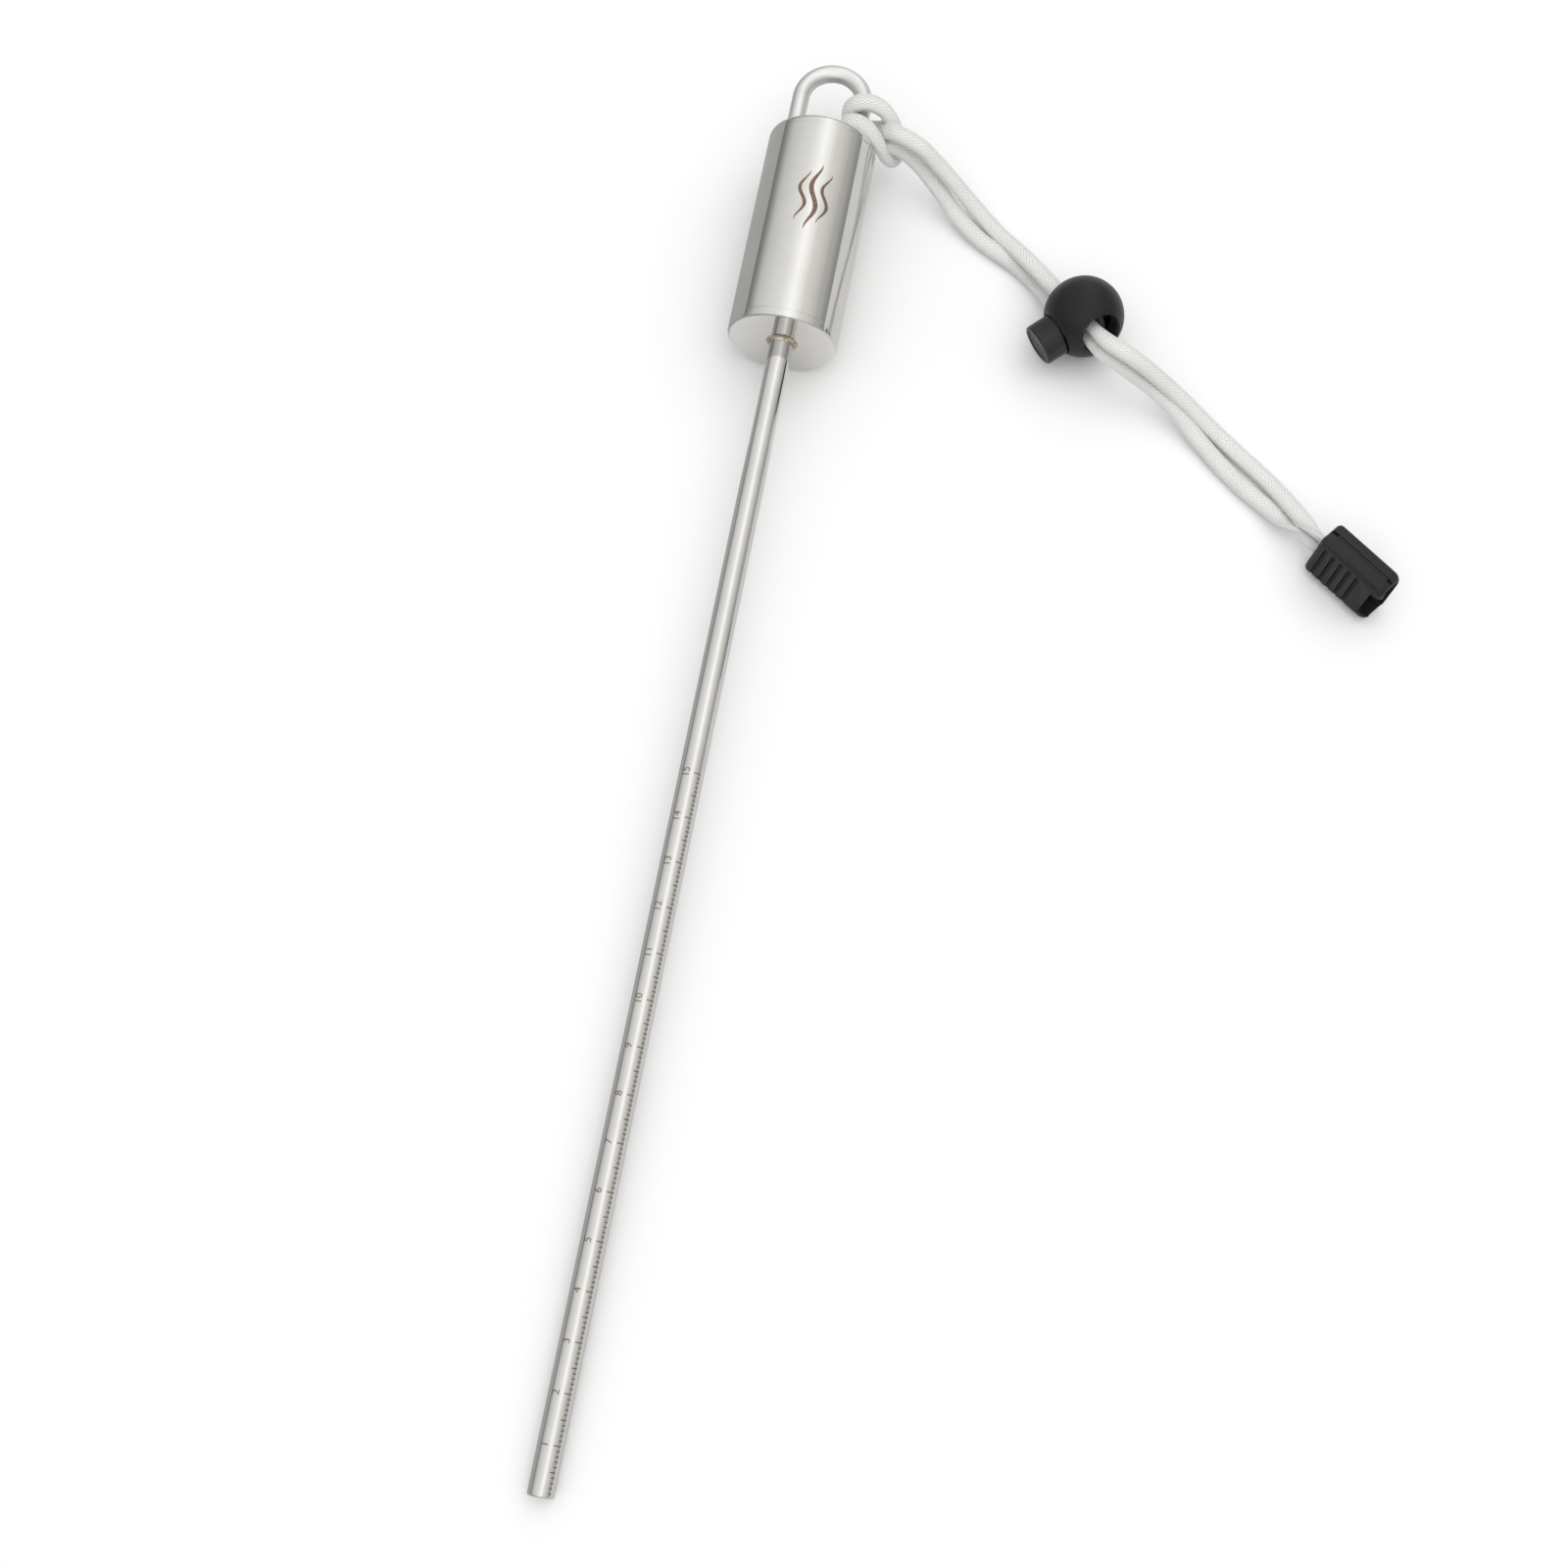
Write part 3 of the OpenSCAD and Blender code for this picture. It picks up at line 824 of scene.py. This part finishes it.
# %% Knot
knot_mid, knot_half_w, knot_half_t = 6, 0.95 * MM, 0.8 * MM    # height in the clip, in mm


def knot_line(steps=120):
    """A trefoil, closed, in the clip's frame."""
    line = []
    for k in range(steps + 1):
        t = 2 * math.pi * k / steps
        point = Vector((-0.1 + 1.1 * math.cos(3 * t), 0.46 * (math.cos(t) - 2 * math.cos(2 * t)),
                        knot_mid + 0.98 * (math.sin(t) + 2 * math.sin(2 * t))))
        line.append(clip @ (point * MM))
    return line


knot_path = evenly(knot_line(), 0.2 * MM)
knot_frames = [(across, flat, knot_half_w) for across, flat, _ in braid_frames(knot_path)]
knot = braid_tube("braid_knot", knot_path, knot_frames, knot_half_t, 24)
print("knot faces", len(knot.data.polygons))

# %% [markdown]
# ## Material helpers
# Small functions keep each material readable. One adds a node and sets or links its
# inputs, and the others are the few steps that almost every finish repeats: a soft
# noise, a ramp, a mix and a bump.

# %% Node helpers
def add(tree, kind, values=None, **settings):
    """A new node; values are numbers, colours or the sockets to link from."""
    made = tree.nodes.new(kind)
    for name, value in settings.items():
        setattr(made, name, value)
    for name, value in (values or {}).items():
        if isinstance(value, bpy.types.NodeSocket):
            tree.links.new(value, made.inputs[name])
        else:
            made.inputs[name].default_value = value
    return made


def material(name, values):
    made = bpy.data.materials.new(name)
    made.use_nodes = True
    tree = made.node_tree
    shader = tree.nodes["Principled BSDF"]
    for socket, value in values.items():
        shader.inputs[socket].default_value = value
    return made, tree, shader


def math_node(tree, operation, *values):
    return add(tree, "ShaderNodeMath", dict(enumerate(values)), operation=operation).outputs[0]


def cloud(tree, scale, detail):
    """A noise fixed to the piece, 0 to 1."""
    where = add(tree, "ShaderNodeTexCoord").outputs["Object"]
    made = add(tree, "ShaderNodeTexNoise", {"Vector": where, "Scale": scale, "Detail": detail})
    return made.outputs["Fac"]


print("node helpers ready")

# %% Colour and bump helpers
def grey(value):
    return (value, value, value)


def ramp(tree, fac, stops, interpolation="LINEAR"):
    made = add(tree, "ShaderNodeValToRGB", {"Fac": fac})
    made.color_ramp.interpolation = interpolation
    elements = made.color_ramp.elements
    while len(elements) < len(stops):
        elements.new(0.5)
    for element, (position, colour) in zip(elements, stops):
        element.position = position
        element.color = (*colour, 1)
    return made.outputs["Color"]


def mix(tree, fac, first, second, blend="MIX"):
    """Two colours, each a socket or three numbers."""
    first, second = (c if isinstance(c, bpy.types.NodeSocket) else (*c, 1) for c in (first, second))
    made = add(tree, "ShaderNodeMix", {0: fac, 6: first, 7: second},
               data_type="RGBA", blend_type=blend)
    return made.outputs[2]


def finish_with(tree, shader, colour, rough, height, strength, distance):
    """Links what varies over the surface to the shader; the bump's depth is in metres."""
    tree.links.new(colour, shader.inputs["Base Color"])
    if rough is not None:
        tree.links.new(rough, shader.inputs["Roughness"])
    bump = add(tree, "ShaderNodeBump", {"Height": height, "Strength": strength,
                                        "Distance": distance})
    tree.links.new(bump.outputs[0], shader.inputs["Normal"])


def group(name, inputs, outputs):
    """A node group; inputs are numbers by name, outputs are names."""
    made = bpy.data.node_groups.new(name, "ShaderNodeTree")
    for socket, value in inputs.items():
        item = made.interface.new_socket(socket, in_out="INPUT", socket_type="NodeSocketFloat")
        item.default_value = value
    for socket in outputs:
        made.interface.new_socket(socket, in_out="OUTPUT", socket_type="NodeSocketFloat")
    return made, made.nodes.new("NodeGroupInput").outputs, made.nodes.new("NodeGroupOutput").inputs


print("colour, bump and group helpers ready")

# %% [markdown]
# ## Polishing lines and handling marks
# A buffed bar is never a perfect mirror. Fine hairlines run along it, slow waves
# bend the reflections, and faint smears dull it in patches. One node group makes
# the three and serves every steel here with its own amounts.

# %% Polish group
def polish_group():
    shared, inside, out = group("polish", {"Lines": 1.0, "Waves": 1.0, "Along": 10.0,
                                           "Round": 700.0}, ["Height", "Smears"])
    where = add(shared, "ShaderNodeTexCoord").outputs["Object"]
    spread = add(shared, "ShaderNodeCombineXYZ",
                 {"X": inside["Round"], "Y": inside["Along"], "Z": inside["Round"]})
    fine = add(shared, "ShaderNodeVectorMath", {0: where, 1: spread.outputs[0]},
               operation="MULTIPLY")
    lines = add(shared, "ShaderNodeTexNoise",
                {"Vector": fine.outputs[0], "Scale": 2.0, "Detail": 3.0}).outputs["Fac"]
    fine_part = math_node(shared, "MULTIPLY", lines, inside["Lines"])
    slow_part = math_node(shared, "MULTIPLY", cloud(shared, 45.0, 1.0), inside["Waves"])
    shared.links.new(math_node(shared, "ADD", fine_part, slow_part), out["Height"])
    shared.links.new(cloud(shared, 130.0, 4.0), out["Smears"])
    return shared


polish = polish_group()
print("polish group:", len(polish.nodes), "nodes")

# %% [markdown]
# Every steel on the stick is the same metal. What differs is how far it was
# polished, so one function takes the colour, how rough its dull and its bright
# patches are, and how deep its marks go.

# %% Steels
def steel(name, colour, dull, bright, lines, waves, depth):
    made, tree, shader = material(name, {"Metallic": 1.0})
    marks = add(tree, "ShaderNodeGroup", {"Lines": lines, "Waves": waves}, node_tree=polish).outputs
    darker = tuple(c * 0.94 for c in colour)
    finish_with(tree, shader, ramp(tree, marks["Smears"], [(0.3, colour), (0.8, darker)]),
                ramp(tree, marks["Smears"], [(0.35, grey(bright)), (0.75, grey(dull))]),
                marks["Height"], depth, 0.00005)
    return made


mirror_steel = steel("mirror polished steel", (0.66, 0.655, 0.64), 0.11, 0.045, 0.35, 1.0, 0.25)
satin_steel = steel("satin steel wire", (0.74, 0.74, 0.735), 0.5, 0.34, 1.0, 0.5, 0.4)
spring_steel = steel("spring wire", grey(0.5), 0.3, 0.2, 0.5, 0.5, 0.2)
ball_steel = steel("bearing steel", grey(0.56), 0.2, 0.1, 0.2, 0.5, 0.2)
print("steels made")

# %% [markdown]
# ## Heat tint
# Welding colours stainless steel from straw through brown to blue. The bead gets
# those colours in patches from a noise, over a dull wavy metal.

# %% Weld metal
def weld_material():
    made, tree, shader = material("heat tinted weld", {"Metallic": 1.0})
    patches = cloud(tree, 420.0, 3.0)
    colour = ramp(tree, patches, [(0.30, (0.56, 0.54, 0.51)), (0.45, (0.50, 0.43, 0.34)),
                                  (0.58, (0.30, 0.24, 0.19)), (0.72, (0.50, 0.47, 0.43))])
    rough = ramp(tree, patches, [(0.3, grey(0.22)), (0.7, grey(0.42))])
    finish_with(tree, shader, colour, rough, cloud(tree, 2500.0, 2.0), 0.4, 0.0001)
    return made


weld_metal = weld_material()
print("weld metal made")

# %% [markdown]
# ## Laser marks
# The ruler and the wave mark are burnt in, dot by dot, which leaves a dull brown
# skin of oxide. A fine noise breaks up its colour and its sheen.

# %% Etched marks
def etched_material():
    made, tree, shader = material("laser etched brown", {"Metallic": 0.7})
    dots = cloud(tree, 1800.0, 3.0)
    colour = ramp(tree, dots, [(0.3, (0.13, 0.085, 0.065)), (0.7, (0.26, 0.18, 0.14))])
    rough = ramp(tree, dots, [(0.3, grey(0.38)), (0.7, grey(0.6))])
    finish_with(tree, shader, colour, rough, dots, 0.3, 0.00002)
    return made


etched = etched_material()
print("etching made")

# %% [markdown]
# ## The braid's yarns
# Seen close, each strand of a braid is a flat bundle of parallel yarns that dives
# under the next one. The group works on the UV map, counted in strands. Two
# families of slanting bands take turns on top in a chequer, each rounded across and
# finely lined along its yarns. The crossings line up in columns, so a faint groove
# runs along the braid between each two. Besides the height, the group gives painted
# shade: 1 where a strand dives, at its edges and in the grooves.

# %% Braid group
def braid_group():
    shared, inside, out = group("braid weave", {"Yarns": 3.0}, ["Height", "Gap"])

    def sum_up(operation, *values):
        return math_node(shared, operation, *values)

    def mixed(fac, a, b):
        return add(shared, "ShaderNodeMix", {0: fac, 2: a, 3: b}, data_type="FLOAT").outputs[0]

    def back(t):
        """0 at a strand's edges, 1 on its back."""
        return sum_up("SINE", sum_up("MULTIPLY", sum_up("FLOORED_MODULO", t, 1.0), math.pi))

    where = add(shared, "ShaderNodeTexCoord").outputs["UV"]
    split = add(shared, "ShaderNodeSeparateXYZ", {"Vector": where})
    u, v = split.outputs["X"], split.outputs["Y"]
    p, q = sum_up("ADD", u, v), sum_up("SUBTRACT", u, v)
    cell = sum_up("ADD", sum_up("FLOOR", p), sum_up("FLOOR", q))
    over = sum_up("GREATER_THAN", sum_up("FLOORED_MODULO", cell, 2.0), 0.5)
    across, length = mixed(over, q, p), mixed(over, p, q)
    yarn = sum_up("MULTIPLY", sum_up("MULTIPLY", across, inside["Yarns"]), 2 * math.pi)
    ridge, dive = sum_up("POWER", back(across), 0.5), sum_up("POWER", back(length), 0.35)
    body = sum_up("MULTIPLY", ridge, dive)
    column = sum_up("MULTIPLY_ADD", sum_up("POWER", back(u), 0.4), 0.5, 0.5)
    body = sum_up("MULTIPLY", body, column)
    shared.links.new(sum_up("MULTIPLY_ADD", sum_up("SINE", yarn), 0.1, body), out["Height"])
    # Painted shade: the second output is 1 in the gaps, at the strands' edges and in the grooves,
    # and darkens the colour there.
    shared.links.new(sum_up("SUBTRACT", 1.0, body), out["Gap"])
    return shared


weave_group = braid_group()
print("weave group:", len(weave_group.nodes), "nodes")

# %% [markdown]
# The yarn is white and matt with a little fuzz, which Sheen gives, and light goes a
# short way into it. Painted shade darkens it in the gaps between strands, and a noise soils it
# faintly.

# %% White braid
def braid_material():
    made, tree, shader = material("white braid", {
        "Roughness": 0.78, "Sheen Weight": 0.25, "Sheen Roughness": 0.4,
        "Subsurface Weight": 0.12, "Subsurface Scale": 0.001,
        "Subsurface Radius": (1.0, 0.9, 0.8)})
    weave = add(tree, "ShaderNodeGroup", {"Yarns": 3.0}, node_tree=weave_group).outputs
    clean = ramp(tree, cloud(tree, 160.0, 4.0), [(0.3, (0.92, 0.92, 0.915)),
                                                 (0.75, (0.87, 0.87, 0.865))])
    # Painted shade: darkens the yarn in the gaps between strands and along the grooves between
    # columns.
    dark = ramp(tree, weave["Gap"], [(0.2, grey(1.0)), (0.85, grey(0.58))])
    finish_with(tree, shader, mix(tree, 1.0, clean, dark, "MULTIPLY"), None,
                weave["Height"], 0.8, 0.00015)
    return made


white_braid = braid_material()
print("braid material made")

# %% [markdown]
# ## Moulded plastic
# The lock and the clip are dull black plastic from a spark-eroded mould. The grain
# is a fine bump, the sheen varies in soft patches, and edges that fingers touch
# are rubbed a little lighter. One group serves both.

# %% Mould grain group
def mould_group():
    shared, inside, out = group("mould grain", {"Fine": 3200.0}, ["Height", "Patches", "Rub"])
    bent = add(shared, "ShaderNodeNewGeometry").outputs["Pointiness"]
    rub = ramp(shared, bent, [(0.50, grey(0.0)), (0.58, grey(1.0))])
    shared.links.new(cloud(shared, inside["Fine"], 2.0), out["Height"])
    shared.links.new(cloud(shared, 180.0, 3.0), out["Patches"])
    shared.links.new(rub, out["Rub"])
    return shared


mould = mould_group()
print("mould group:", len(mould.nodes), "nodes")

# %% Moulded plastics
def plastic(name, dark, light, smooth, rough):
    made, tree, shader = material(name, {"Specular IOR Level": 0.27})
    marks = add(tree, "ShaderNodeGroup", {"Fine": 3200.0}, node_tree=mould).outputs
    base = ramp(tree, marks["Patches"], [(0.3, grey(dark)), (0.75, grey(light))])
    edge = (light * 1.9, light * 1.9, light * 1.95)
    dull = ramp(tree, marks["Patches"], [(0.3, grey(smooth)), (0.75, grey(rough))])
    finish_with(tree, shader, mix(tree, marks["Rub"], base, edge), dull,
                marks["Height"], 0.35, 0.00006)
    return made


lock_plastic = plastic("lock plastic", 0.006, 0.011, 0.34, 0.48)
button_plastic = plastic("button plastic", 0.010, 0.018, 0.3, 0.42)
clip_plastic = plastic("clip plastic", 0.006, 0.011, 0.34, 0.48)
print("plastics made")

# %% [markdown]
# ## Dressing every piece
# Each new piece takes its finish, rides on its body and, where it stands for a
# solid of the fixed model, hides that solid. Solids whose own shape is right keep it and only get
# the material: the balls sealed in the rattle and the film hinge.

# %% Finishes and bodies
def finish_in(piece, finish):
    piece.data.materials.clear()
    piece.data.materials.append(finish)


def dress(piece, finish, body, slot, *nodes):
    finish_in(piece, finish)
    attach(piece, body)
    if nodes:
        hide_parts(*nodes)


dress(rod, mirror_steel, "stick", "polished_steel", "pointer_rod")
dress(tube, mirror_steel, "stick", "polished_steel", "rattle_tube")
dress(rod_cap, mirror_steel, "stick", "polished_steel", "rod_end_cap")
dress(ring_cap, mirror_steel, "stick", "polished_steel", "ring_end_cap")
dress(ring, satin_steel, "stick", "satin_steel", "carry_ring")
dress(rod_bead, weld_metal, "stick", "weld_metal", "rod_weld")
dress(ring_beads, weld_metal, "stick", "weld_metal", "ring_welds")
dress(ticks, etched, "stick", "polished_steel")
dress(numbers, etched, "stick", "polished_steel")
dress(waves, etched, "stick", "polished_steel")
dress(braid, white_braid, "stick", "braided_cord", "lanyard_cord")
dress(knot, white_braid, "stick", "braided_cord", "cord_end_knot")
dress(ball, lock_plastic, "cord_lock", "lock_plastic", "lock_ball")
dress(plunger, button_plastic, "button", "lock_plastic", "lock_button")
dress(coil, spring_steel, "cord_lock", "spring_steel", "lock_spring")
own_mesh(coil)
dress(far_half, clip_plastic, "stick", "clip_plastic", "clip_far_half")
dress(near_half, clip_plastic, "clip_flap", "clip_plastic", "clip_near_half")

film = bpy.data.objects["clip_film_hinge"]
finish_in(film, clip_plastic)
for name in ("rattle_ball_1", "rattle_ball_2", "rattle_ball_3"):
    finish_in(bpy.data.objects[name], ball_steel)
print("dressed with", len(bpy.data.materials), "materials")

[tuple(p) for p in evenly(braid_line, 1.5 * MM)]

# %% [markdown]
# ## Table and light
# Polished steel shows its surroundings, so the light matters as much as the metal.
# The sky is a soft studio: a bright strip above the stick, white walls beside it
# and darker bands low down on both sides, each drawn by its angle about the stick.
# The camera itself sees a plain pale backdrop in place of the sky's bands.

# %% Studio sky
def studio_world():
    world = bpy.data.worlds.new("studio")
    world.use_nodes = True
    tree = world.node_tree
    where = add(tree, "ShaderNodeTexCoord").outputs["Generated"]
    split = add(tree, "ShaderNodeSeparateXYZ", {"Vector": where})
    angle = math_node(tree, "ARCTAN2", split.outputs["X"], split.outputs["Z"])
    turn = math_node(tree, "MULTIPLY_ADD", angle, 1 / (2 * math.pi), 0.5)
    bands = [    # degrees from straight up towards +X, and the light there
        (-100, grey(0.72)), (-76, grey(0.77)), (-62, (1.03, 1.03, 1.02)),
        (-40, (1.26, 1.26, 1.24)), (-16, (1.46, 1.45, 1.42)), (-3, (1.72, 1.71, 1.68)),
        (8, (1.96, 1.96, 1.94)), (20, (1.68, 1.67, 1.63)), (32, (1.3, 1.28, 1.23)),
        (44, (1.18, 1.16, 1.1)), (56, (1.0, 0.98, 0.94)), (67, (0.77, 0.76, 0.73)),
        (80, grey(0.88)), (92, (1.14, 1.13, 1.11))]
    light = ramp(tree, turn, [(0.5 + degrees / 360, colour) for degrees, colour in bands])
    rise = ramp(tree, split.outputs["Z"], [(0.0, grey(0.45)), (0.35, grey(1.0))], "EASE")
    sky = mix(tree, 1.0, light, rise, "MULTIPLY")
    ray = add(tree, "ShaderNodeLightPath").outputs["Is Camera Ray"]
    back = tree.nodes["Background"]
    tree.links.new(mix(tree, ray, sky, grey(1.25)), back.inputs["Color"])
    back.inputs["Strength"].default_value = 0.75
    bpy.context.scene.world = world


studio_world()
print("sky ready")

# %% [markdown]
# One large soft lamp adds a contact shadow. It is hidden from glossy rays, so that
# the steel doesn't show its rectangle.

# %% Soft key light
key = bpy.data.lights.new("soft key", "AREA")
key.shape, key.size, key.size_y, key.energy = "RECTANGLE", 0.8, 1.2, 2.0
key_light = bpy.data.objects.new("soft key", key)
key_light.location = (0.35, 0.25, 0.9)
aim = Vector((0, 0.05, 0)) - key_light.location
key_light.rotation_euler = aim.to_track_quat("-Z", "Y").to_euler()
key_light.visible_glossy = False
bpy.context.collection.objects.link(key_light)
print("key light", key.energy, "W")

# %% [markdown]
# The table looks pale and plain. In the steel it is mirrored greyer, a painted
# reflection: darker on the left than on the right, with a painted bright patch
# only near the rattle's front cap. The glossy-ray switch sits in the table's own
# material, and the object's materials know nothing of it.

# %% Table
bm = bmesh.new()
bmesh.ops.create_grid(bm, x_segments=1, y_segments=1, size=1.5)
bmesh.ops.translate(bm, verts=bm.verts, vec=(0, 0, -0.05 * MM))
table = make_object("table", bm)


def pale_table():
    made, tree, shader = material("pale table", {"Roughness": 0.9, "Specular IOR Level": 0.2})
    where = add(tree, "ShaderNodeTexCoord").outputs["Object"]
    split = add(tree, "ShaderNodeSeparateXYZ", {"Vector": where})
    across = add(tree, "ShaderNodeMapRange",
                 {"Value": split.outputs["X"], "From Min": -0.01, "From Max": 0.01})
    # Painted reflection: to glossy rays the table is greyer, darker towards -X than towards +X.
    painted_reflection_grey = ramp(tree, across.outputs[0], [(0.0, grey(0.44)), (1.0, grey(0.74))])
    front = Vector((0, (stick @ Vector((0, 0, rod_len * MM))).y - 7 * MM, 0))
    away = add(tree, "ShaderNodeVectorMath", {0: where, 1: front}, operation="DISTANCE")
    # Painted light in the reflection: a bright patch round a point just in front of the rattle's
    # front cap.
    near = ramp(tree, math_node(tree, "MULTIPLY", away.outputs["Value"], 20.0),
                [(0.28, grey(1.0)), (0.46, grey(0.0))])
    ray = add(tree, "ShaderNodeLightPath").outputs["Is Glossy Ray"]
    seen = mix(tree, ray, (0.895, 0.9, 0.915), mix(tree, near, painted_reflection_grey, grey(0.96)))
    tree.links.new(seen, shader.inputs["Base Color"])
    return made


table.data.materials.append(pale_table())
bpy.context.scene.view_settings.view_transform = "Standard"
print("studio ready")
